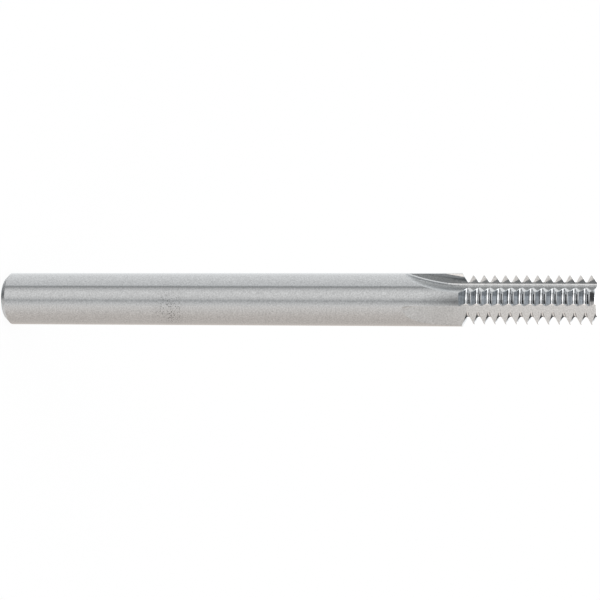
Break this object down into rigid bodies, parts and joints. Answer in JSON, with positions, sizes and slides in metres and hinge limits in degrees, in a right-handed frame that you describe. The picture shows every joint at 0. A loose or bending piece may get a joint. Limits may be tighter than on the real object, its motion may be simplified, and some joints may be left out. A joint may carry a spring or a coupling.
{
  "type": "thread mill",
  "caption": "Solid round-shank thread mill: ring teeth on straight-fluted lands that mill an internal thread as the tool circles down a hole.",
  "frame": {"origin": "centre of the flat face at the shank end, on which the tool stands", "axes": "+Z along the tool's axis from the shank end to the cutting tip; +X along the rake face of one cutting edge"},
  "size_m": [0.008, 0.008, 0.0914],
  "materials": {
    "carbide": "fine ground, bare tungsten carbide"
  },
  "bodies": {
    "root": {"thread_mill": "carbide"}
  },
  "joints": []
}
